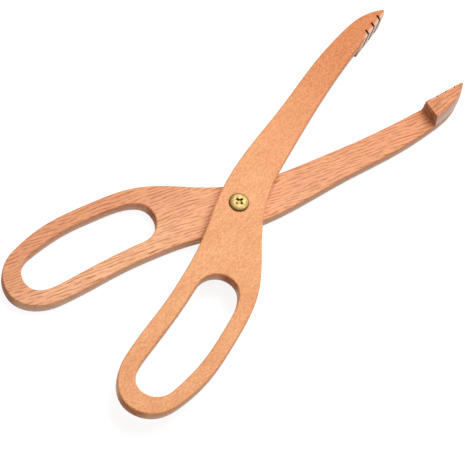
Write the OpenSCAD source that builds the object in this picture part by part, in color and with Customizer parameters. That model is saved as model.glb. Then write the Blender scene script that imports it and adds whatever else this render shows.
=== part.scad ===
// Scissor-action kitchen tongs: two alike flat beech arms, one turned over on the other,
// crossed on a brass pivot. Each arm carries a block at its tip that makes the jaw as deep as
// both arms together. Millimetres. +Y runs from the pivot towards the jaws, +Z up from the
// table. The origin is on the pivot axis, level with the underside of the rear arm.

/* [Pose] */
// Angle between the two arms as they are stored
rest_opening = 32; // [24:1:60]

/* [Arms] */
// Thickness of each arm
arm_t = 8; // [6:0.5:12]
// Space between the two arms at the pivot
arm_gap = 0.5; // [0.4:0.1:1.5]

/* [Blade] */
// Reach from the pivot to the tip
tip_reach = 162; // [145:0.5:190]
// Distance from the pivot to the neck, where the blade leaves the crossing
neck_reach = 44; // [38:1:56]
// Gripping side of the neck, measured from the arm's axis
neck_x = 9.5; // [8:0.5:12]
// Width of the blade half way along, measured from the line of the neck
blade_w = 17.2; // [14:0.1:22]
// Distance of that width from the pivot
blade_mid = 80; // [65:1:95]

/* [Jaw] */
// Length of the jaw from its foot to the tip
jaw_l = 29; // [20:0.5:40]
// Toothed face at the foot, measured from the arm's axis
jaw_x = 11.5; // [10:0.5:16]
// Toothed face at the tip, measured from the arm's axis
tip_x = 13.8; // [11:0.1:18]
// Width of the blade at the jaw's foot
jaw_w = 13.5; // [10:0.5:18]
// Width of the blunt end at the tip
tip_w = 2.4; // [1:0.2:4]
// How far below the tip its rounding begins on the toothed face
tip_round = 2.6; // [1.5:0.1:4]
// Radius of the hollow at the foot of the block
foot_r = 0.75; // [0.5:0.25:3]
// How far the foot is turned towards the tip on the back side, in degrees
foot_turn = 4.5; // [0:0.5:10]
// How far the back side of the block leans over the jaw, in degrees
block_lean = 11; // [0:1:15]
// Number of grooves across the toothed face
groove_count = 3; // [1:1:4]
// Distance between grooves along the face
groove_pitch = 6.5; // [4:0.5:8]
// Distance from the tip to the first groove's mouth
groove_start = 7.5; // [5:0.5:10]
// Width of a groove
groove_w = 1.3; // [0.6:0.1:2]
// Depth of a groove at the outer face of the arm, square to the toothed face
groove_d = 2.9; // [1:0.1:5]
// Depth of a groove at the outer face of the block, square to the toothed face
groove_end_d = 0.9; // [0.3:0.1:3]
// How far a groove leans towards the tip, in degrees
groove_rake = 30; // [0:1:35]

/* [Handle] */
// Reach from the pivot to the end of the handle
handle_reach = 138.5; // [125:0.5:160]
// Overall width of the finger loop
loop_w = 46; // [40:0.5:56]
// Outer side of the finger loop, measured from the arm's axis
loop_x = 38; // [33:0.5:46]
// Rim between the finger hole and the outer side
rim_outer = 8.5; // [6:0.5:12]
// Rim between the finger hole and the inner side
rim_inner = 9.5; // [7:0.5:12]
// Rim between the finger hole and the end of the handle
rim_end = 11.5; // [8:0.5:15]
// Distance from the pivot to the finger hole
hole_start = 43.5; // [34:0.5:52]
// Outer edge beside the pivot, measured from the arm's axis
waist_x = 18; // [15:0.5:21]
// Distance of the waist behind the pivot
waist_back = 5; // [0:1:12]
// Outer edge where the arm widens into the handle, measured from the arm's axis
shoulder_x = 31.5; // [28:0.5:35]
// Distance of the shoulder behind the pivot
shoulder_back = 32.5; // [26:0.5:40]
// Inner edge behind the pivot, measured from the arm's axis
bulge_x = 9; // [7:0.5:12]
// Distance of the bulge behind the pivot
bulge_back = 17; // [10:1:26]
// How far the inner side is hollowed towards the palm
palm_hollow = 3; // [0:0.5:5]
// Distance of that hollow behind the pivot
palm_back = 63; // [52:1:80]
// Distance of the finger loop's widest place behind the pivot
loop_widest = 73.5; // [66:0.5:84]
// Distance of the finger hole's widest place behind the pivot
hole_widest = 77.5; // [68:0.5:88]
// Distance of the finger hole's own hollow behind the pivot
hole_hollow_back = 57; // [52:1:66]

/* [Pivot] */
// Outside diameter of the barrel that the arms turn on
barrel_d = 5; // [4:0.25:6]
// Radial clearance of the barrel in the turning arm
turn_clearance = 0.05; // [0.02:0.01:0.1]
// Radial clearance of the barrel in the arm that holds it
seat_clearance = 0.02; // [0.01:0.01:0.04]
// Diameter of the flush head on the barrel
barrel_head_d = 12; // [9:0.5:14]
// Thickness of the flush head on the barrel
barrel_head_t = 1.5; // [1:0.25:2.5]
// Diameter of the domed screw head
head_d = 11.3; // [9:0.1:14]
// Height of the domed screw head
head_h = 1.7; // [1.4:0.1:2.4]
// Height of the upright rim under the dome
head_rim = 0.6; // [0.4:0.1:1]
// Free play under the screw head
head_play = 0.1; // [0.05:0.05:0.3]
// Diameter of the screw's shank
shank_d = 3; // [2.5:0.25:3.5]
// Length of the screw's shank
shank_l = 11; // [8:0.5:13]
// Radial play of the shank in the barrel
thread_play = 0.05; // [0.02:0.01:0.1]
// Length of each slot of the cross recess
recess_l = 4.6; // [3:0.2:5]
// Width of each slot of the cross recess
recess_w = 1; // [0.6:0.1:1.4]
// Depth of the cross recess at its middle
recess_d = 1.2; // [0.6:0.1:1.3]
// Depth of the cross recess at its ends
recess_end_d = 0.4; // [0.2:0.1:0.6]
// Diameter of the washer between the arms
washer_d = 12; // [9:0.5:16]
// Free play on each side of the washer
washer_play = 0.05; // [0.02:0.01:0.1]

/* [Hidden] */

// Both jaws are as tall as the two arms and the space between them.
front_z = arm_t + arm_gap;
block_t = arm_t + arm_gap;
stack_t = front_z + arm_t;

// Rounding of the finger loop and the finger hole, measured from their sides and ends
loop_taper = 8;
loop_round_x = 18;
loop_round_y = 15;
loop_turn_y = 23.5;
hole_taper = 6;
hole_round_x = 12.5;
hole_round_y = 9.5;
hole_turn_x = 7;
hole_turn_y = 19;

// Smoothness of curves
curve_steps = 12;
fullness = 0.39;
round_fn = 64;
overcut = 1;

// The hollow at the foot of a block is an arc that stops short of level, in equal steps.
foot_sweep = 80;
foot_step = 10;

// Colours
beech_front = [0.95, 0.69, 0.50];
beech_rear = [0.90, 0.63, 0.46];
brass = [0.86, 0.74, 0.35];

// Edges of the blade, the finger loop and the finger hole
jaw_y = tip_reach - jaw_l;
face_top = tip_reach - tip_round;
blade_back_x = neck_x - blade_w;
jaw_back_x = jaw_x - jaw_w;
loop_inner_x = loop_x - loop_w;
hole_end = handle_reach - rim_end;
hole_outer_x = loop_x - rim_outer;
hole_inner_x = loop_inner_x + rim_inner;

// Outline nodes are [x, y, heading], with the heading in degrees from +X. The outlines run
// clockwise seen from above, and a smooth curve joins each node to the next.
handle_tip = [loop_inner_x + loop_round_x, -handle_reach, 180];
jaw_back = [jaw_back_x, jaw_y, 79];
tip_end = [tip_x - tip_w, tip_reach, 45];
face_corner = [tip_x, face_top, -92];
hole_top = [hole_outer_x - hole_round_x, -hole_start, 0];
grip_side = [
    [jaw_x, jaw_y, -95],
    [neck_x, neck_reach, -89],
    [waist_x, -waist_back, -67],
    [shoulder_x, -shoulder_back, -66],
    [loop_x, -loop_widest, -90],
    [loop_x - loop_taper, loop_round_y - handle_reach, -112],
    handle_tip
];
back_side = [
    handle_tip,
    [loop_inner_x, loop_turn_y - handle_reach, 90],
    [loop_inner_x + palm_hollow, -palm_back, 90],
    [-bulge_x, -bulge_back, 102],
    [blade_back_x, blade_mid, 87],
    jaw_back,
    tip_end,
    face_corner
];
finger_hole = [
    hole_top,
    [hole_outer_x, -hole_widest, -90],
    [hole_outer_x - hole_taper, hole_round_y - hole_end, -106],
    [hole_inner_x + hole_turn_x, -hole_end, 165],
    [hole_inner_x, hole_turn_y - hole_end, 85],
    [hole_inner_x + palm_hollow, -hole_hollow_back, 90],
    hole_top
];

function xy(n) = [n[0], n[1]];
function direction(n) = [cos(n[2]), sin(n[2])];

// Point at share u of the curve from node a to node b
function between(a, b, u) =
    let (
        reach = fullness * norm(xy(b) - xy(a)),
        leave = xy(a) + reach * direction(a),
        arrive = xy(b) - reach * direction(b),
        v = 1 - u
    )
    v * v * v * xy(a) + 3 * v * v * u * leave + 3 * v * u * u * arrive + u * u * u * xy(b);

// Points along a run of nodes, without the last node
function smooth_run(nodes) = [
    for (i = [0 : len(nodes) - 2], k = [0 : curve_steps - 1])
        between(nodes[i], nodes[i + 1], k / curve_steps)
];

arm_outline = concat(smooth_run(grip_side), smooth_run(back_side), [xy(face_corner)]);
hole_outline = smooth_run(finger_hole);

// One straight saw cut that leans towards the tip. It crosses the toothed face of the arm and
// of the block, and it's deepest at the outer face of the arm.
module groove(mouth_y) {
    mouth_x = jaw_x + (tip_x - jaw_x) * (mouth_y - jaw_y) / (face_top - jaw_y);
    deep = groove_d / cos(groove_rake);
    shallow = groove_end_d / cos(groove_rake);
    taper = overcut * (deep - shallow) / stack_t;
    translate([mouth_x, mouth_y, 0])
        rotate([90, 0, 180 - groove_rake])
            linear_extrude(groove_w, center = true)
                polygon([
                    [-2 * overcut, -block_t - overcut],
                    [shallow - taper, -block_t - overcut],
                    [deep + taper, arm_t + overcut],
                    [-2 * overcut, arm_t + overcut]
                ]);
}

module grooves() {
    for (k = [0 : groove_count - 1])
        groove(tip_reach - groove_start - k * groove_pitch);
}

// Flat arm in its own frame, with its outer face up and the glue face of the jaw below
module arm(bore_d) {
    difference() {
        linear_extrude(arm_t)
            difference() {
                polygon(arm_outline);
                polygon(hole_outline);
            }
        grooves();
        translate([0, 0, -overcut])
            cylinder(h = arm_t + 2 * overcut, d = bore_d, $fn = round_fn);
    }
}

// The block's toothed side and tip stand upright. Its back side leans, turned about the line
// that joins the foot to the tip in the glue face.
back_run = smooth_run([jaw_back, tip_end]);
tip_run = smooth_run([tip_end, face_corner]);
back_chord = xy(tip_end) - xy(jaw_back);
back_turn = atan2(back_chord[1], back_chord[0]);

// Point past b on the straight line from a, so that one outline crosses the other cleanly
function beyond(a, b) = b + block_t * (b - a) / norm(b - a);

// A point of the glue face as [along, across] that line, drawn so that it's true once leaning
function leaning(p) =
    let (d = p - xy(jaw_back))
    [
        d[0] * cos(back_turn) + d[1] * sin(back_turn),
        (d[1] * cos(back_turn) - d[0] * sin(back_turn)) * cos(block_lean)
    ];

back_start = leaning(beyond(back_run[1], back_run[0]));
back_end = leaning(beyond(back_run[curve_steps - 1], xy(tip_end)));
back_outline = concat(
    [back_start],
    [for (k = [1 : curve_steps - 1]) leaning(back_run[k])],
    [back_end, [back_end[0], -loop_w], [back_start[0], -loop_w]]
);
toothed_outline = concat(
    [beyond(tip_run[1], xy(tip_end))],
    [for (k = [1 : curve_steps - 1]) tip_run[k]],
    [
        xy(face_corner),
        [jaw_x, jaw_y],
        [jaw_x, neck_reach],
        [-loop_w, neck_reach],
        [-loop_w, tip_reach + loop_w]
    ]
);

// Side view of the block, as [y, z] from the foot of its toothed side: an upright face that
// hollows out and ends in the glue face
foot_profile = concat(
    [[loop_w, 0], [loop_w, -block_t], [foot_r, -block_t]],
    [
        for (a = [0 : foot_step : foot_sweep])
            [foot_r * cos(a), foot_r * (sin(a) - sin(foot_sweep))]
    ]
);

// Block glued under the arm's tip. The side view alone ends it at its two level faces.
module jaw_block() {
    difference() {
        intersection() {
            linear_extrude(4 * block_t, center = true)
                polygon(toothed_outline);
            translate([jaw_back_x, jaw_y, 0])
                rotate([0, 0, back_turn])
                    rotate([-block_lean, 0, 0])
                        linear_extrude(4 * block_t, center = true)
                            polygon(back_outline);
            translate([jaw_x, jaw_y, 0])
                rotate([90, 0, 90 - foot_turn])
                    linear_extrude(2 * loop_w, center = true)
                        polygon(foot_profile);
        }
        grooves();
    }
}

// The front arm lies on top, its block reaching down to the table.
module in_front() {
    rotate(rest_opening / 2)
        translate([0, 0, front_z])
            children();
}

// The rear arm is the same arm turned over, its block reaching up.
module in_rear() {
    rotate(-rest_opening / 2)
        translate([0, 0, arm_t])
            rotate([0, 180, 0])
                children();
}

module front_arm() {
    color(beech_front) in_front() arm(barrel_d + 2 * turn_clearance);
}

module front_jaw() {
    color(beech_front) in_front() jaw_block();
}

module rear_arm() {
    color(beech_rear)
        difference() {
            in_rear() arm(barrel_d + 2 * seat_clearance);
            translate([0, 0, -overcut])
                cylinder(
                    h = barrel_head_t + overcut,
                    d = barrel_head_d + 2 * seat_clearance,
                    $fn = round_fn
                );
        }
}

module rear_jaw() {
    color(beech_rear) in_rear() jaw_block();
}

// Barrel with its flush head in the rear arm, open at the top for the screw
module pivot_barrel() {
    seat_z = stack_t + head_play;
    color(brass)
        difference() {
            union() {
                cylinder(h = barrel_head_t, d = barrel_head_d, $fn = round_fn);
                cylinder(h = seat_z, d = barrel_d, $fn = round_fn);
            }
            translate([0, 0, seat_z - shank_l - overcut])
                cylinder(h = shank_l + 2 * overcut, d = shank_d + 2 * thread_play, $fn = round_fn);
        }
}

// Side view of the screw, as [radius, z] above the underside of its head
crown_h = head_h - head_rim;
crown_r = (pow(head_d / 2, 2) + crown_h * crown_h) / (2 * crown_h);
crown_angle = asin(head_d / 2 / crown_r);
screw_profile = concat(
    [[0, -shank_l], [shank_d / 2, -shank_l], [shank_d / 2, 0], [head_d / 2, 0]],
    [
        for (k = [0 : curve_steps])
            let (a = crown_angle * (1 - k / curve_steps))
            [crown_r * sin(a), head_h - crown_r * (1 - cos(a))]
    ]
);

// One wing of the cross recess, deepest at the middle
module recess_wing() {
    rotate([90, 0, 0])
        translate([0, 0, -recess_w / 2])
            linear_extrude(recess_w)
                polygon([
                    [-recess_l / 2, head_h + overcut],
                    [-recess_l / 2, head_h - recess_end_d],
                    [-recess_w / 2, head_h - recess_d],
                    [recess_w / 2, head_h - recess_d],
                    [recess_l / 2, head_h - recess_end_d],
                    [recess_l / 2, head_h + overcut]
                ]);
}

module pivot_screw() {
    color(brass)
        translate([0, 0, stack_t + head_play])
            difference() {
                rotate_extrude($fn = round_fn) polygon(screw_profile);
                for (turn = [0, 90])
                    rotate(turn) recess_wing();
            }
}

module spacer_washer() {
    color(brass)
        translate([0, 0, arm_t + washer_play])
            difference() {
                cylinder(h = arm_gap - 2 * washer_play, d = washer_d, $fn = round_fn);
                translate([0, 0, -overcut])
                    cylinder(
                        h = arm_gap + 2 * overcut,
                        d = barrel_d + 2 * turn_clearance,
                        $fn = round_fn
                    );
            }
}

rear_arm();
rear_jaw();
front_arm();
front_jaw();
pivot_barrel();
pivot_screw();
spacer_washer();
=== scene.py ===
"""Beech kitchen tongs with a brass pivot: wooden arms and jaw blocks with sanded edges, a domed
screw with a cross recess, and the light, floor and camera that show them. Metres, in the frame
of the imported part."""

import math

import bmesh
import bpy
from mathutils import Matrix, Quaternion, Vector


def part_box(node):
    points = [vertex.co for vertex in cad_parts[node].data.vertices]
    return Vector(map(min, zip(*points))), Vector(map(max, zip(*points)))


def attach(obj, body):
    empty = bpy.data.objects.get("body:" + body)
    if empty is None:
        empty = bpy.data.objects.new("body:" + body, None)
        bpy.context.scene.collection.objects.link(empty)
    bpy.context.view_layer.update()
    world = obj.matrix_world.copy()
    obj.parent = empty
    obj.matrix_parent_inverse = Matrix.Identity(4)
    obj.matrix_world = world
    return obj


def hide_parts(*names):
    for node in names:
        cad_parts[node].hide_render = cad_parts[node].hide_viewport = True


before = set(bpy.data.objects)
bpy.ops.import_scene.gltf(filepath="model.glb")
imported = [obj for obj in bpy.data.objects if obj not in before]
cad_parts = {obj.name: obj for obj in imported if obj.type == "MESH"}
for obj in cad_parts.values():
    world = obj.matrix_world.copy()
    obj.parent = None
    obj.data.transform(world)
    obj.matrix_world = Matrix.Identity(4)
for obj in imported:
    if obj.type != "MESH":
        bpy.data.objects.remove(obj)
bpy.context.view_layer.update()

MM = 0.001
DEG = math.pi / 180
UP = (0.0, 0.0, 1.0)

# Points nearer than this are one point, and faces that turn by less than this are one face
WELD = 0.001 * MM
FLAT_ANGLE = 0.05 * DEG

# Faces that turn by more than this meet in a sharp edge
SHARP_ANGLE = 28 * DEG


# ---- Node graphs ----


class Graph:
    """Adds nodes to a material or world and links them, so that a material reads as steps."""

    def __init__(self, tree):
        self.tree = tree
        tree.nodes.clear()

    def add(self, kind, inputs=None, **settings):
        """A node whose inputs hold plain values or are linked to other nodes."""
        node = self.tree.nodes.new(kind)
        for key, value in settings.items():
            setattr(node, key, value)
        for key, value in (inputs or {}).items():
            if isinstance(value, bpy.types.NodeSocket):
                self.tree.links.new(value, node.inputs[key])
            else:
                node.inputs[key].default_value = value
        return node

    def math(self, operation, a, b=0.0):
        """One step of arithmetic on plain values or sockets."""
        return self.add("ShaderNodeMath", {0: a, 1: b}, operation=operation).outputs[0]

    def product(self, *factors):
        """The factors multiplied together."""
        result = factors[0]
        for factor in factors[1:]:
            result = self.math("MULTIPLY", result, factor)
        return result

    def ease(self, value, span, into=(0.0, 1.0)):
        """The value taken smoothly from one span of values into another."""
        inputs = {"Value": value, "From Min": span[0], "From Max": span[1]}
        inputs.update({"To Min": into[0], "To Max": into[1]})
        node = self.add("ShaderNodeMapRange", inputs, interpolation_type="SMOOTHSTEP")
        return node.outputs["Result"]

    def blend(self, share, a, b, kind="MIX"):
        """Colour a with a share of colour b."""
        node = self.add("ShaderNodeMix", {0: share, 6: a, 7: b}, data_type="RGBA")
        node.blend_type = kind
        return node.outputs[2]

    def noise(self, vector, scale=1.0, detail=2.0, roughness=0.5, distortion=0.0):
        """Noise around 0.5, with that many features to a unit of the vector."""
        inputs = {"Vector": vector, "Scale": scale, "Detail": detail}
        inputs.update({"Roughness": roughness, "Distortion": distortion})
        return self.add("ShaderNodeTexNoise", inputs).outputs["Fac"]

    def bumps(self, relief, strength, height):
        """Normals that shade a relief, where 1 stands for that height."""
        inputs = {"Strength": strength, "Distance": height, "Height": relief}
        return self.add("ShaderNodeBump", inputs).outputs[0]

    def finish(self, shader, kind="ShaderNodeOutputMaterial"):
        """Makes the shader what the material or world shows."""
        self.add(kind, {"Surface": shader})


def rgb(red, green, blue):
    """A display colour, 0 to 255, as the linear colour that a shader takes."""
    def linear(v):
        v /= 255
        return v / 12.92 if v <= 0.04045 else ((v + 0.055) / 1.055) ** 2.4

    return (linear(red), linear(green), linear(blue), 1.0)


def new_material(name):
    """A material with nodes, for a Graph to fill."""
    material = bpy.data.materials.new(name)
    material.use_nodes = True
    return material


def shifted(span, distance):
    """The span moved by a distance."""
    return (distance + span[0], distance + span[1])


# ---- Beech ----

END_GRAIN = (0.47, 0.24, 0.13, 1.0)
END_STREAK = (0.82, 0.58, 0.4, 1.0)
# Scorch of the saw, also painted shade in and beside the saw cuts
SCORCH_AND_SHADE = rgb(116, 42, 14)
# Pale of sawn and worn wood, also painted floor light on upright sides and the toothed face
SAWN_WOOD_AND_FLOOR_LIGHT = rgb(250, 226, 208)

# Noise fields of the wood: sizes of their features across the grain, along it and square to
# the growth rings, and a shift that keeps the fields apart
FIBRE = dict(size=(0.3 * MM, 9 * MM, 0.3 * MM), shift=0.1, detail=3.0, roughness=0.65)
GRIT = dict(size=(0.4 * MM, 2.2 * MM, 0.4 * MM), shift=0.4, detail=4.0, roughness=0.7)
SWAY = dict(size=(9 * MM, 30 * MM, 9 * MM), shift=2.3)

# Patterns of the wood: noise fields with the span of their values over which they show
FIBRE_SPAN = (0.4, 0.72)
HUE = dict(size=(6 * MM, 12 * MM, 6 * MM), shift=1.7, span=(0.35, 0.65))
MOTTLE = dict(
    size=(9 * MM, 20 * MM, 9 * MM), shift=0.0, span=(0.3, 0.72), detail=3.0, roughness=0.55,
)
RINGS = dict(
    size=(2.2 * MM, 80 * MM, 1.4 * MM), shift=0.3, span=(0.4, 0.7), roughness=0.6, distortion=0.6,
)
BREAKS = dict(size=(1.0 * MM, 6.5 * MM, 2.5 * MM), shift=2.9, span=(0.36, 0.56), detail=1.0)
STREAKS = dict(
    size=(5 * MM, 60 * MM, 0.7 * MM), shift=0.9, span=(0.45, 0.65), roughness=0.6, distortion=0.4,
)

# Specks: their size square to the growth rings, the shift of the first, and their noise
SPECK_DEPTH = 2.5 * MM
SPECK_SHIFT = 0.7
SPECK_NOISE = dict(detail=1.0, distortion=0.3)

# Lines: how far they sway and how wide they are, where 1 is the gap between them
LINE_SWAY = 3.0
LINE_WIDTH = (0.04, 0.2)

# What is left of the marks on upright sides, and how deep they lie in the wood's relief
WALL_MARKS = 0.35
MARK_RELIEF = 0.8

# How far a surface faces up, where it counts as level or eased, or along the grain, where it
# counts as full end grain
LEVEL_SPAN = (0.3, 0.8)
EASED_SPAN = (0.45, 0.97)
END_FULL = 0.98

# Places in the wood: reach is the distance from the pivot along +Y, and depth is the distance
# from the plane of the toothed face into the jaw. The finger loop has a negative depth.
TIP_REACH = 150 * MM
BLADE_REACH = (40 * MM, 130 * MM)
LOOP_DEPTH = (-40 * MM, -5 * MM)
WORN_DEPTH = (0.3 * MM, 1.9 * MM)
# The saw cuts turn dark over this depth: scorch with painted shade
CUT_SHADE_DEPTH = (0.3 * MM, 1.8 * MM)

# Reaches measured from the foot of the jaw, heights from the underside of the piece, and
# distances from the mouth of a saw cut. They place the painted floor light on upright sides,
# the worn wood, the toothed face's sawn pale with painted floor light, and the scorch with
# painted shade by the saw cuts
FLOOR_LIGHT_FADE = (-12 * MM, 4 * MM)
WORN_RISE = (0.0, 4 * MM)
PALE_FACE_RISE = (-2 * MM, 5 * MM)
FLOOR_LIGHT_HEIGHT = (1.5 * MM, 6 * MM)
MOUTH_SHADE_GAP = (0.8 * MM, 1.5 * MM)

# Strengths of tones: at the start and end of their place, or at their fullest. The dark in and
# by the saw cuts is scorch with painted shade, the toothed face's pale is sawn wood with painted
# floor light, and the dark on eased edges is painted shade
CUT_SHADE_SHARE = (0.6, 0.92)
PALE_FACE_SHARE = (0.2, 0.8)
MOUTH_SCORCH_AND_SHADE = 0.85
EDGE_SHADE = 0.35

# The wood's roughness over a span of the fibre noise, its specular level, and the strength and
# height of its relief
GLOSS_SPAN = (0.2, 0.8)
WOOD_GLOSS = (0.5, 0.66)
WOOD_SPECULAR = 0.3
WOOD_BUMP = 0.22
WOOD_RELIEF = 0.12 * MM


class Wood(Graph):
    """Node graph of one board. Its grain runs at an angle from +Y and its growth rings are
    tilted by its cut. The jaw holds the frame of its toothed face."""

    def __init__(self, tree, look, seed, jaw):
        super().__init__(tree)
        self.look = look
        self.seed = seed
        self.jaw = jaw
        self.grain = look["grain"] * DEG
        self.cut = look["cut"] * DEG
        self.place = self.add("ShaderNodeTexCoord").outputs
        self.reach = self.dot("Object", (0.0, 1.0, 0.0))
        self.depth = self.dot("Object", -jaw["normal"])
        self.level = self.ease(self.facing(UP), LEVEL_SPAN)

    def dot(self, socket, vector):
        """How far a place or a normal lies along a direction."""
        node = self.add("ShaderNodeVectorMath", {0: self.place[socket], 1: vector},
                        operation="DOT_PRODUCT")
        return node.outputs["Value"]

    def facing(self, vector):
        """1 where a surface faces along a direction or against it, 0 at right angles to it."""
        return self.math("ABSOLUTE", self.dot("Normal", vector))

    def field(self, size, shift, **settings):
        """A noise field that follows the board's grain."""
        inputs = {
            "Vector": self.place["Object"],
            "Location": (self.seed + shift, self.seed - shift, shift),
            "Rotation": (0.0, self.cut, self.grain),
            "Scale": size,
        }
        place = self.add("ShaderNodeMapping", inputs, vector_type="TEXTURE").outputs[0]
        return self.noise(place, **settings)

    def pattern(self, span, strength=1.0, **field):
        """A noise field taken smoothly from a span into 0..strength."""
        return self.ease(self.field(**field), span, (0.0, strength))

    def ground(self, fibre):
        """Plain wood: a slow change of tone, painted shade that darkens it towards the tip and
        round the finger loop, and growth rings and fine fibres."""
        look = self.look
        deep = look["deep"]
        tone = self.blend(self.pattern(**HUE), look["face"], look["rosy"])
        tone = self.blend(self.pattern(strength=look["mottle"], **MOTTLE), tone, deep)
        # Painted shade, darker towards the tip and round the finger loop
        tip = self.ease(self.reach, (look["tip_from"], TIP_REACH), (0.0, look["tip_shade"]))
        tone = self.blend(tip, tone, deep)
        loop = self.ease(self.depth, LOOP_DEPTH, (look["loop_shade"], 0.0))
        tone = self.blend(loop, tone, deep)
        tone = self.blend(self.pattern(strength=look["rings"], **RINGS), tone, deep)
        fibres = self.ease(fibre, FIBRE_SPAN, (0.0, look["fibre"]))
        return self.blend(fibres, tone, look["fleck"])

    def specks(self):
        """How strongly short specks mark the wood."""
        marks = 0.0
        for step, (across, along, span, strength) in enumerate(self.look["specks"]):
            size = (across, along, SPECK_DEPTH)
            shift = SPECK_SHIFT + step
            mark = self.pattern(span, strength, size=size, shift=shift, **SPECK_NOISE)
            marks = self.math("MAXIMUM", marks, mark)
        return marks

    def lines(self):
        """How strongly thin broken lines, a little unevenly spaced, mark the wood."""
        crosswise = (math.cos(self.grain), math.sin(self.grain), 0.0)
        count = self.math("DIVIDE", self.dot("Object", crosswise), self.look["line_gap"])
        count = self.math("ADD", count, self.product(self.field(**SWAY), LINE_SWAY))
        off_line = self.math("ABSOLUTE", self.math("SUBTRACT", self.math("FRACT", count), 0.5))
        line = self.ease(off_line, LINE_WIDTH, (self.look["lines"], 0.0))
        return self.product(line, self.pattern(**BREAKS))

    def vessels(self):
        """How strongly vessels mark the wood: less on its upright sides, and differently at
        the end of its blade."""
        marks = self.specks()
        if self.look["lines"]:
            marks = self.math("MAXIMUM", marks, self.lines())
        on_level = self.ease(self.level, (0.0, 1.0), (WALL_MARKS, 1.0))
        on_blade = self.ease(self.reach, BLADE_REACH, (1.0, self.look["tip_marks"]))
        return self.product(marks, on_level, on_blade)

    def painted_floor_light(self, tone):
        """Painted floor light: upright sides are painted paler, most of all low down, as the
        white floor would light them.
        """
        heights = shifted(FLOOR_LIGHT_HEIGHT, self.look["foot_z"])
        low_down = self.ease(self.dot("Object", UP), heights, self.look["floor_light"])
        upright = self.math("SUBTRACT", 1.0, self.level)
        reaches = shifted(FLOOR_LIGHT_FADE, self.jaw["foot"])
        at_jaw = self.ease(self.reach, reaches, (1.0, self.look["floor_light_on_jaw"]))
        return self.blend(self.product(low_down, upright, at_jaw), tone, SAWN_WOOD_AND_FLOOR_LIGHT)

    def end_grain(self, tone):
        """End grain drinks in the light: it's dark and red, with its rings as paler streaks."""
        lengthwise = (-math.sin(self.grain), math.cos(self.grain), 0.0)
        end = self.ease(self.facing(lengthwise), (self.look["end_from"], END_FULL))
        shade = self.blend(self.pattern(**STREAKS), END_GRAIN, END_STREAK)
        return self.blend(end, tone, self.blend(1.0, tone, shade, "MULTIPLY"))

    def painted_edge_shade(self, tone):
        """Painted shade: eased edges are painted darker, most where they face half-way up."""
        up = self.ease(self.facing(UP), EASED_SPAN)
        half_way = self.product(up, self.math("SUBTRACT", 4.0, self.product(up, 4.0)))
        return self.blend(self.product(half_way, EDGE_SHADE), tone, self.look["deep"])

    def worn(self, tone):
        """The wood beside the toothed face is worn pale."""
        beside = self.ease(self.depth, WORN_DEPTH, (self.look["worn"], 0.0))
        on_jaw = self.ease(self.reach, shifted(WORN_RISE, self.jaw["foot"]))
        return self.blend(self.product(beside, on_jaw), tone, SAWN_WOOD_AND_FLOOR_LIGHT)

    def toothed_face_light_and_shade(self, tone):
        """The toothed face is pale, as sawn wood with painted floor light, and darker by the
        mouths of its saw cuts, as scorch with painted shade.
        """
        # Painted floor light on top of the pale of sawn wood
        pale_share = self.ease(self.reach, shifted(PALE_FACE_RISE, self.jaw["foot"]), PALE_FACE_SHARE)
        tone = self.blend(pale_share, tone, SAWN_WOOD_AND_FLOOR_LIGHT)
        along = self.dot("Object", self.jaw["run"])
        # Darker by each saw cut's mouth: scorch with painted shade
        for mouth in self.jaw["mouths"]:
            gap = self.math("ABSOLUTE", self.math("SUBTRACT", along, mouth))
            tone = self.blend(self.ease(gap, MOUTH_SHADE_GAP, (MOUTH_SCORCH_AND_SHADE, 0.0)), tone, SCORCH_AND_SHADE)
        return tone

    def scorched_and_shaded_cut(self, tone):
        """Dark wood lines a saw cut and is darkest at its end: scorch of the saw, with painted
        shade that deepens into the cut.
        """
        return self.blend(self.ease(self.depth, CUT_SHADE_DEPTH, CUT_SHADE_SHARE), tone, SCORCH_AND_SHADE)


def beech(name, look, seed, jaw, cut_surface=None):
    """Beech with the given look. Where a saw left its surface, cut_surface is the step of Wood
    that shows it."""
    material = new_material(name)
    wood = Wood(material.node_tree, look, seed, jaw)
    fibre = wood.field(**FIBRE)
    marks = wood.vessels()
    tone = wood.blend(marks, wood.ground(fibre), look["fleck"])
    for step in (wood.painted_floor_light, wood.end_grain, wood.painted_edge_shade, wood.worn):
        tone = step(tone)
    if cut_surface:
        tone = cut_surface(wood, tone)
    relief = wood.math("SUBTRACT", wood.field(**GRIT), wood.product(marks, MARK_RELIEF))
    inputs = {"Base Color": tone, "Roughness": wood.ease(fibre, GLOSS_SPAN, WOOD_GLOSS)}
    inputs["Normal"] = wood.bumps(relief, WOOD_BUMP, WOOD_RELIEF)
    inputs["Specular IOR Level"] = WOOD_SPECULAR
    wood.finish(wood.add("ShaderNodeBsdfPrincipled", inputs).outputs[0])
    return material


# ---- Brass ----

BRASS = rgb(168, 146, 93)
BRASS_DULL = rgb(152, 128, 77)
# Tarnish, also painted shade at the head's edge and on its rim
TARNISH_AND_SHADE = rgb(110, 62, 18)
# Dirt, also painted shade in the wings of the recess
DIRT_AND_SHADE = rgb(112, 74, 16)

# Features to a metre: wear on the screw and on the barrel and washer, and pits
SCREW_WEAR = 700.0
BARREL_WEAR = 730.0
PITS = 2600.0

# Strength and height of the pits
PIT_BUMP = 0.3
PIT_RELIEF = 0.05 * MM

# Spans of the wear over which brass turns dull and rough, and how rough it is
WEAR_SPAN = (0.35, 0.7)
BRASS_GLOSS_SPAN = (0.3, 0.75)
BRASS_GLOSS = (0.46, 0.6)

# Tarnish with painted shade darkens the head from a share of its radius and has a strength at
# its edge. It fades out where the rim faces up by the span.
RIM_DARK_FROM = 0.85
RIM_DARK_SHARE = 0.3
RIM_SPAN = (0.35, 0.85)

# Dirt with painted shade starts at a share of the worn radius, and is this rough
RECESS_DARK_FROM = 0.6
DIRT_GLOSS = 0.8


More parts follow.
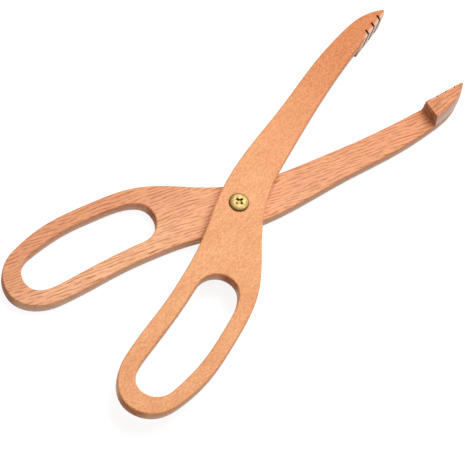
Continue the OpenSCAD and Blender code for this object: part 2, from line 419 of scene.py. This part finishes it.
def brass(name, wear_scale, head_r=0.0, worn_r=0.0):
    """Stamped brass with fine pits. With head_r it darkens towards that radius of the pivot axis
    and on its upright rim, as tarnish with painted shade. With worn_r it's darker and duller away
    from the axis, as dirt with painted shade, but clean near the axis."""
    material = new_material(name)
    graph = Graph(material.node_tree)
    place = graph.add("ShaderNodeTexCoord").outputs
    flat = graph.add("ShaderNodeVectorMath", {0: place["Object"], 1: (1.0, 1.0, 0.0)},
                     operation="MULTIPLY").outputs[0]
    radius = graph.add("ShaderNodeVectorMath", {0: flat}, operation="LENGTH").outputs["Value"]
    wear = graph.noise(place["Object"], wear_scale, detail=4.0)
    pits = graph.noise(place["Object"], PITS)
    tone = graph.blend(graph.ease(wear, WEAR_SPAN), BRASS, BRASS_DULL)
    gloss = graph.ease(wear, BRASS_GLOSS_SPAN, BRASS_GLOSS)
    metal = 1.0
    if head_r:
        # Tarnish with painted shade at the head's edge and on its upright rim
        edge = graph.ease(radius, (head_r * RIM_DARK_FROM, head_r), (0.0, RIM_DARK_SHARE))
        tone = graph.blend(edge, tone, TARNISH_AND_SHADE)
        upward = graph.add("ShaderNodeSeparateXYZ", {0: place["Normal"]}).outputs["Z"]
        tone = graph.blend(graph.ease(upward, RIM_SPAN, (1.0, 0.0)), tone, TARNISH_AND_SHADE)
    if worn_r:
        # Dirt with painted shade towards the ends of the recess's wings, clean near the axis
        dirty_and_shaded = graph.ease(radius, (worn_r * RECESS_DARK_FROM, worn_r))
        tone = graph.blend(dirty_and_shaded, tone, DIRT_AND_SHADE)
        gloss = graph.math("MAXIMUM", gloss, graph.product(dirty_and_shaded, DIRT_GLOSS))
        metal = graph.math("SUBTRACT", 1.0, dirty_and_shaded)
    inputs = {"Base Color": tone, "Roughness": gloss, "Metallic": metal}
    inputs["Normal"] = graph.bumps(pits, PIT_BUMP, PIT_RELIEF)
    graph.finish(graph.add("ShaderNodeBsdfPrincipled", inputs).outputs[0])
    return material


# ---- Wooden pieces ----

# Sanded roundings, as radii, and the number of facets in each
EASE_EDGE = 0.9 * MM
EASE_BLOCK = 0.35 * MM
EASE_BORE = 0.25 * MM
EASE_STEPS = 3

# Edges this near the pivot axis belong to the bore round it
BORE_REACH = 7 * MM

# Width of a strip of an arm's side, before and after the foot of its jaw
FOOT_STRIP = 1.1 * MM

# A toothed face lies this near a plane through the pivot axis, and this far from the axis
TOOTH_REACH = 0.5 * MM
JAW_REACH = 120 * MM

# How far a face's normal points up or down, where the face is a top or an underside
LEVEL_NORMAL = 0.9

# Places of a wooden piece's materials: its plain wood, its saw cuts and its toothed face
PLAIN, KERF, TEETH = range(3)


def whole_faces(node):
    """The CAD node as a bmesh of whole flat faces, without the triangles between them."""
    bm = bmesh.new()
    bm.from_mesh(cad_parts[node].data)
    bmesh.ops.remove_doubles(bm, verts=bm.verts, dist=WELD)
    bmesh.ops.dissolve_limit(
        bm, angle_limit=FLAT_ANGLE, use_dissolve_boundaries=False, verts=bm.verts, edges=bm.edges
    )
    bm.normal_update()
    return bm


def is_level(face):
    """Whether a face is a top or an underside."""
    return abs(face.normal.z) > LEVEL_NORMAL


def is_sharp(edge):
    """Whether two faces meet at an edge, and turn sharply there."""
    return len(edge.link_faces) == 2 and edge.calc_face_angle() > SHARP_ANGLE


def blade_axis(node):
    """Direction along an arm, read from the upright face at the foot of its jaw block."""
    bm = whole_faces(node)

    def foot_like(face):
        towards = face.calc_center_median().xy.normalized()
        return -face.calc_area() * face.normal.xy.dot(towards)

    normal = max((f for f in bm.faces if not is_level(f)), key=foot_like).normal.copy()
    bm.free()
    return -normal.xy.normalized()


def kerf_faces(bm):
    """Upright faces that meet another upright face in a sharp hollow corner."""
    found = set()
    for edge in bm.edges:
        if is_sharp(edge) and not edge.is_convex and not any(map(is_level, edge.link_faces)):
            found.update(edge.link_faces)
    return found


def is_toothed(face, kerfs):
    """The toothed face of a jaw lies in a plane through the pivot axis."""
    if is_level(face) or face in kerfs:
        return False
    centre = face.calc_center_median()
    return abs(centre.xy.dot(face.normal.xy)) < TOOTH_REACH and centre.length > JAW_REACH


def measure_jaw(node):
    """The frame of a jaw block: the direction along its arm, the distance of its foot, the
    outward direction of its toothed face, the direction along that face, and the distances of
    its saw cuts along it."""
    bm = whole_faces(node)
    kerfs = kerf_faces(bm)
    toothed = [f for f in bm.faces if is_toothed(f, kerfs)]
    normal = max(toothed, key=lambda f: f.calc_area()).normal.copy()
    run = Vector((-normal.y, normal.x, 0))
    corners = sorted(
        edge.verts[0].co.dot(run) for edge in bm.edges
        if edge.is_convex and any(f in kerfs for f in edge.link_faces)
        and any(f in toothed for f in edge.link_faces)
    )
    bm.free()
    along = blade_axis(node)
    foot = min(v.co.xy.dot(along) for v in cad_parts[node].data.vertices)
    mouths = [(a + b) / 2 for a, b in zip(corners[::2], corners[1::2])]
    return {"along": along, "foot": foot, "normal": normal, "run": run, "mouths": mouths}


def foot_strips(bm, jaw):
    """Upright faces in the strips before and after the jaw's foot."""
    return [
        f for f in bm.faces if not is_level(f)
        and abs(f.calc_center_median().xy.dot(jaw["along"]) - jaw["foot"]) < FOOT_STRIP
    ]


def cut_plane(bm, faces, point, normal):
    """Cuts the faces along a plane, and leaves both halves."""
    geometry = set(faces)
    for face in faces:
        geometry.update(face.edges, face.verts)
    bmesh.ops.bisect_plane(
        bm, geom=list(geometry), dist=WELD, plane_co=point, plane_no=normal
    )


def cut_strips(bm, jaw, glue_z):
    """Cuts an arm's sides beside the foot of its jaw, where the rounding along the glue side
    ends, so that it ends within a small patch with shading of its own."""
    along = jaw["along"].to_3d()
    for side in (-1, 1):
        cut_plane(bm, bm.faces, along * (jaw["foot"] + side * FOOT_STRIP), along)
    strips = foot_strips(bm, jaw)
    middle_z = sum(f.calc_center_median().z for f in strips) / len(strips)
    into_arm = math.copysign(FOOT_STRIP, middle_z - glue_z)
    cut_plane(bm, strips, (0, 0, glue_z + into_arm), UP)
    for face in foot_strips(bm, jaw):
        for edge in face.edges:
            edge.smooth = False
    bm.normal_update()


def edge_radius(edge, jaw, glue_z, kerfs, is_block):
    """Radius of the rounding on a sharp edge, 0 where it stays sharp."""
    far = min(v.co.xy.dot(jaw["along"]) for v in edge.verts)
    on_glue = all(abs(v.co.z - glue_z) < WELD for v in edge.verts)
    if not edge.is_convex or (on_glue and (is_block or far > jaw["foot"] - WELD)):
        return 0.0
    if any(face in kerfs for face in edge.link_faces):
        return 0.0
    if sum(v.co.xy.length for v in edge.verts) / 2 < BORE_REACH:
        return EASE_BORE
    return EASE_BLOCK if is_block else EASE_EDGE


def surface_of(face, kerfs):
    """Which of a wooden piece's materials shows on a face."""
    if face in kerfs:
        return KERF
    return TEETH if is_toothed(face, kerfs) else PLAIN


def soften(node, jaw, glue_z, is_block):
    """A wooden piece with sanded edges that stands for a CAD node. Edges in the glue line, from
    the foot of the jaw to the tip, stay sharp, because both parts were shaped together."""
    bm = whole_faces(node)
    if not is_block:
        cut_strips(bm, jaw, glue_z)
    kerfs = kerf_faces(bm)
    weight = bm.edges.layers.float.new("bevel_weight_edge")
    for edge in bm.edges:
        if not is_sharp(edge):
            continue
        radius = edge_radius(edge, jaw, glue_z, kerfs, is_block)
        edge[weight] = radius / EASE_EDGE
        edge.smooth = radius > 0
    for face in bm.faces:
        face.smooth = True
        face.material_index = surface_of(face, kerfs)
    piece = new_object(node + "_wood", bm)
    bpy.context.scene.collection.objects.link(piece)
    bevel = piece.modifiers.new("sanded_edges", "BEVEL")
    bevel.limit_method = "WEIGHT"
    bevel.width = EASE_EDGE
    bevel.segments = EASE_STEPS
    bevel.use_clamp_overlap = False
    normals = piece.modifiers.new("even_shading", "WEIGHTED_NORMAL")
    normals.keep_sharp = True
    return piece


def new_object(name, bm):
    """The bmesh as an object that isn't in the scene yet."""
    mesh = bpy.data.meshes.new(name)
    bm.to_mesh(mesh)
    bm.free()
    return bpy.data.objects.new(name, mesh)


def dress(piece, node, body, materials):
    """Gives a piece its materials and puts it in the place of its CAD node."""
    for material in materials:
        piece.data.materials.append(material)
    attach(piece, body)
    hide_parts(node)


# ---- Pivot ----

# Place of the recess among the screw's materials, after the head
RECESS = 1

# The screw's head is a button: a fuller curve than an ellipse, which 2 would give. It is
# turned in steps up the head and sides round it.
HEAD_FULLNESS = 3.2
HEAD_STEPS = 16
HEAD_SIDES = 96

# The driver's recess is a cross that tapers. It is cut from 1 mm above the head to its floor,
# with shares of its length and width there, and it is worn clean within a radius.
RECESS_LENGTH = 4.8 * MM
RECESS_WIDTH = 1.5 * MM
RECESS_DEPTH = 1.3 * MM
SHARES_ABOVE = (1.15, 1.05)
SHARES_AT_FLOOR = (0.8, 0.9)
RECESS_WORN = 1.3 * MM

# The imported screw's points this near its head's rim, or its tip, are read as a part of them
RIM_REACH = 0.02 * MM
TIP_HEIGHT = 1 * MM


def read_screw():
    """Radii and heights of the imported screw."""
    low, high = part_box("pivot_screw")
    points = [v.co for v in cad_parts["pivot_screw"].data.vertices]
    head_r = high.x
    seat = min(p.z for p in points if p.xy.length > head_r - RIM_REACH)
    shank_r = max(p.xy.length for p in points if p.z < low.z + TIP_HEIGHT)
    return {"tip": low.z, "seat": seat, "top": high.z, "shank_r": shank_r, "head_r": head_r}


def lathe(name, profile, sides):
    """A closed solid turned about Z from (radius, z) points that start and end on the axis."""
    bm = bmesh.new()
    rings = []
    for radius, z in profile:
        if radius == 0:
            rings.append([bm.verts.new((0, 0, z))])
            continue
        ring = [(math.cos(a) * radius, math.sin(a) * radius, z)
                for a in (2 * math.pi * k / sides for k in range(sides))]
        rings.append([bm.verts.new(p) for p in ring])
    for lower, upper in zip(rings, rings[1:]):
        for k in range(sides):
            corners = [lower[k % len(lower)], lower[(k + 1) % len(lower)]]
            corners += [upper[(k + 1) % len(upper)], upper[k % len(upper)]]
            bm.faces.new(list(dict.fromkeys(corners)))
    bmesh.ops.recalc_face_normals(bm, faces=bm.faces)
    return new_object(name, bm)


def cross_cutter(top):
    """A tapered cross, as a driver's tip: four wings that narrow and shorten with depth."""
    bm = bmesh.new()
    rings = []
    for z, (length_share, width_share) in (
        (top + MM, SHARES_ABOVE),
        (top - RECESS_DEPTH, SHARES_AT_FLOOR),
    ):
        half_l = RECESS_LENGTH / 2 * length_share
        half_w = RECESS_WIDTH / 2 * width_share
        corner = [(half_l, -half_w), (half_l, half_w), (half_w, half_w)]
        ring = []
        for cosine, sine in ((1, 0), (0, 1), (-1, 0), (0, -1)):
            ring += [bm.verts.new((cosine * x - sine * y, sine * x + cosine * y, z))
                     for x, y in corner]
        rings.append(ring)
    upper, lower = rings
    for k in range(len(upper)):
        after = (k + 1) % len(upper)
        bm.faces.new((upper[k], upper[after], lower[after], lower[k]))
    bm.faces.new(upper)
    bm.faces.new(lower)
    bmesh.ops.recalc_face_normals(bm, faces=bm.faces)
    for face in bm.faces:
        face.material_index = RECESS
    return new_object("cross_cutter", bm)


def make_screw(materials):
    """The screw with a button head, and a recess of its own material cut into it."""
    size = read_screw()
    profile = [(0, size["tip"]), (size["shank_r"], size["tip"]), (size["shank_r"], size["seat"])]
    height = size["top"] - size["seat"]
    for k in range(HEAD_STEPS + 1):
        angle = math.pi / 2 * k / HEAD_STEPS
        across, up = math.cos(angle), math.sin(angle)
        profile.append((size["head_r"] * max(across, 0) ** (2 / HEAD_FULLNESS),
                        size["seat"] + height * up ** (2 / HEAD_FULLNESS)))
    profile = [(radius if radius > WELD else 0, z) for radius, z in profile]
    screw = lathe("pivot_screw_brass", profile, HEAD_SIDES)
    cutter = cross_cutter(size["top"])
    for piece in (screw, cutter):
        for material in materials:
            piece.data.materials.append(material)
        bpy.context.scene.collection.objects.link(piece)
    cut = screw.modifiers.new("cross_recess", "BOOLEAN")
    cut.object = cutter
    cut.solver = "EXACT"
    evaluated = screw.evaluated_get(bpy.context.evaluated_depsgraph_get())
    mesh = bpy.data.meshes.new_from_object(evaluated)
    screw.modifiers.clear()
    screw.data = mesh
    bpy.data.objects.remove(cutter)
    for polygon in mesh.polygons:
        polygon.use_smooth = True
    mesh.set_sharp_from_angle(angle=SHARP_ANGLE)
    return screw


# ---- Surroundings ----

WHITE = (1.0, 1.0, 1.0, 1.0)

# The floor lies this far under the object
FLOOR_SIZE = 6.0
FLOOR_DROP = 0.05 * MM

# Tones of the floor as it lights the object and as it is seen. What is seen has a share of
# plain glow of this strength, which lifts the shadows.
FLOOR_TONE = (0.59, 0.58, 0.57, 1.0)
SEEN_TONE = (0.97, 0.97, 0.97, 1.0)
SHADOW_LIFT = 0.75
SEEN_GLOW = 1.15

# Levels of the sky at the horizon and high up, as it lights the object and as it is mirrored,
# and the height, where 1 is overhead, at which the mirrored one is at its brightest
SKY_LEVELS = (0.2, 0.5)
MIRRORED_LEVELS = (0.25, 0.8)
MIRRORED_TOP = 0.9


def seen_directly(graph):
    """1 for a ray that shows the surroundings themselves, 0 for one that gathers their light."""
    ray = graph.add("ShaderNodeLightPath").outputs
    mirrored = graph.math("MAXIMUM", ray["Is Glossy Ray"], ray["Is Transmission Ray"])
    return graph.math("MAXIMUM", ray["Is Camera Ray"], mirrored)


def make_floor():
    """A pale paper floor, just under the object."""
    bpy.ops.mesh.primitive_plane_add(size=FLOOR_SIZE, location=(0, 0, -FLOOR_DROP))
    floor = bpy.context.object
    floor.name = "floor"
    material = new_material("floor_paper")
    graph = Graph(material.node_tree)
    lit = graph.add("ShaderNodeBsdfDiffuse", {"Color": FLOOR_TONE}).outputs[0]
    shown = graph.add("ShaderNodeBsdfDiffuse", {"Color": SEEN_TONE}).outputs[0]
    glow = graph.add("ShaderNodeEmission", {"Color": WHITE, "Strength": SEEN_GLOW}).outputs[0]
    pale = graph.add("ShaderNodeMixShader", {0: SHADOW_LIFT, 1: shown, 2: glow}).outputs[0]
    mixed = graph.add("ShaderNodeMixShader", {0: seen_directly(graph), 1: lit, 2: pale})
    graph.finish(mixed.outputs[0])
    floor.data.materials.append(material)


def make_sky():
    """An overhead diffuser: bright above and dim near the horizon, also in reflections."""
    world = bpy.data.worlds.new("studio")
    world.use_nodes = True
    bpy.context.scene.world = world
    graph = Graph(world.node_tree)

    def diffuser(level):
        return graph.add("ShaderNodeBackground", {"Color": WHITE, "Strength": level}).outputs[0]

    towards = graph.add("ShaderNodeTexCoord").outputs["Generated"]
    height = graph.add("ShaderNodeSeparateXYZ", {0: towards}).outputs["Z"]
    fill = diffuser(graph.ease(height, (0.0, 1.0), SKY_LEVELS))
    shown = diffuser(graph.ease(height, (0.0, MIRRORED_TOP), MIRRORED_LEVELS))
    mixed = graph.add("ShaderNodeMixShader", {0: seen_directly(graph), 1: fill, 2: shown})
    graph.finish(mixed.outputs[0], "ShaderNodeOutputWorld")


def make_lamp(name, direction, distance, size, level):
    """A soft lamp aimed at the pivot that gives a level white surface facing it that level."""
    data = bpy.data.lights.new(name, "AREA")
    data.size = size
    data.energy = level * math.pi ** 2 * distance ** 2
    lamp = bpy.data.objects.new(name, data)
    towards = Vector(direction).normalized()
    lamp.location = towards * distance
    lamp.rotation_mode = "QUATERNION"
    lamp.rotation_quaternion = towards.to_track_quat("Z", "Y")
    bpy.context.scene.collection.objects.link(lamp)


# ---- Camera ----

# The camera looks at AIM from a distance, turned round from -Y, raised from the floor and
# rolled. Its lens is in millimetres.
AIM = Vector((12.8, -16.6, 17.3)) * MM
VIEW_TURN = 25.06 * DEG
VIEW_HEIGHT = 61.39 * DEG
VIEW_ROLL = 21.51 * DEG
VIEW_DISTANCE = 1.109
VIEW_LENS = 154.6
CLIP = (0.05, 20.0)


def make_camera():
    """The camera at the photograph's viewing angle."""
    data = bpy.data.cameras.new("camera")
    data.lens = VIEW_LENS
    data.clip_start, data.clip_end = CLIP
    camera = bpy.data.objects.new("camera", data)
    back = Vector((
        math.sin(VIEW_TURN) * math.cos(VIEW_HEIGHT),
        -math.cos(VIEW_TURN) * math.cos(VIEW_HEIGHT),
        math.sin(VIEW_HEIGHT),
    ))
    camera.location = AIM + back * VIEW_DISTANCE
    camera.rotation_mode = "QUATERNION"
    unrolled = back.to_track_quat("Z", "Y")
    camera.rotation_quaternion = Quaternion(back, VIEW_ROLL) @ unrolled
    bpy.context.scene.collection.objects.link(camera)
    bpy.context.scene.camera = camera


# ---- Putting it together ----

# Grain and cut are in degrees. The face is rosy in places and deep in others, darker towards the
# tip and the loop by painted shade, and shows flecks where fibres and vessels cross it. Specks
# are (across, along, span, strength). The tip's painted shade starts at tip_from, and end grain
# where a surface faces at least end_from along the grain. Floor_light is how much painted floor
# light makes the upright sides pale, low down and above, and floor_light_on_jaw what is left of
# that on the jaw, as tip_marks is for marks. Line_gap is the gap between lines. Other numbers are
# strengths.
FRONT = dict(
    grain=4, cut=15, end_from=0.75,
    face=rgb(255, 190, 133), rosy=rgb(255, 184, 132), deep=rgb(216, 137, 81),
    fleck=rgb(190, 102, 48), mottle=0.25, rings=0.12, fibre=0.14,
    tip_from=-10 * MM, tip_shade=0.93, loop_shade=0.1, tip_marks=1.8,
    floor_light=(0.6, 0.1), floor_light_on_jaw=0.4, worn=0.6,
    specks=[(0.7 * MM, 1.9 * MM, (0.44, 0.62), 0.4), (0.35 * MM, 1.2 * MM, (0.42, 0.66), 0.4)],
    lines=0.0,
)
REAR = dict(
    grain=-20, cut=6, end_from=0.75,
    face=rgb(255, 197, 144), rosy=rgb(255, 189, 147), deep=rgb(226, 146, 98),
    fleck=rgb(160, 78, 38), mottle=0.28, rings=0.2, fibre=0.15,
    tip_from=-80 * MM, tip_shade=0.8, loop_shade=0.66, tip_marks=1.0,
    floor_light=(0.6, 0.1), floor_light_on_jaw=1.0, worn=0.15,
    specks=[(0.6 * MM, 8 * MM, (0.5, 0.66), 0.25), (0.5 * MM, 5 * MM, (0.52, 0.66), 0.3)],
    lines=0.8, line_gap=1.9 * MM,
)
REAR_BLOCK = dict(
    REAR, grain=-8, cut=20, end_from=0.45,
    face=rgb(234, 178, 130), rosy=rgb(232, 170, 132), rings=0.8, fibre=0.35,
    tip_shade=0.5, floor_light=(0.8, 0.5),
    specks=[(0.8 * MM, 16 * MM, (0.5, 0.6), 0.55), (0.5 * MM, 6 * MM, (0.54, 0.64), 0.5)],
)


def boards(name, look, seed, jaw, foot_z):
    """The wood of one piece, of its saw cuts, and of its sawn toothed face."""
    look = dict(look, foot_z=foot_z)
    return [
        beech(name, look, seed, jaw),
        beech(name + "_kerf", look, seed, jaw, Wood.scorched_and_shaded_cut),
        beech(name + "_teeth", look, seed, jaw, Wood.toothed_face_light_and_shade),
    ]


def make_wood():
    """Both arms and their jaw blocks."""
    for body, glue_z, arm_look, block_look, seed in (
        ("front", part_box("front_arm")[0].z, FRONT, FRONT, 0.11),
        ("rear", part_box("rear_arm")[1].z, REAR, REAR_BLOCK, 0.53),
    ):
        jaw = measure_jaw(body + "_jaw")
        for kind, look, shift in (("_arm", arm_look, 0.0), ("_jaw", block_look, 0.3)):
            node = body + kind
            wood = boards(node + "_beech", look, seed + shift, jaw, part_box(node)[0].z)
            piece = soften(node, jaw, glue_z, kind == "_jaw")
            dress(piece, node, body, wood)


def make_pivot():
    """The screw, and the brass of the barrel and washer, which keep their CAD shapes."""
    metal = brass("brass", BARREL_WEAR)
    head = brass("brass_head", SCREW_WEAR, head_r=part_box("pivot_screw")[1].x)
    recess = brass("brass_recess", SCREW_WEAR, worn_r=RECESS_WORN)
    dress(make_screw([head, recess]), "pivot_screw", "rear", [])
    for node in ("pivot_barrel", "spacer_washer"):
        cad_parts[node].data.materials.clear()
        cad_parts[node].data.materials.append(metal)


make_wood()
make_pivot()
make_floor()
make_sky()
make_lamp("key", direction=(-0.12, 0.6, 1.0), distance=1.2, size=0.8, level=0.89)
make_camera()
bpy.context.scene.view_settings.view_transform = "Standard"
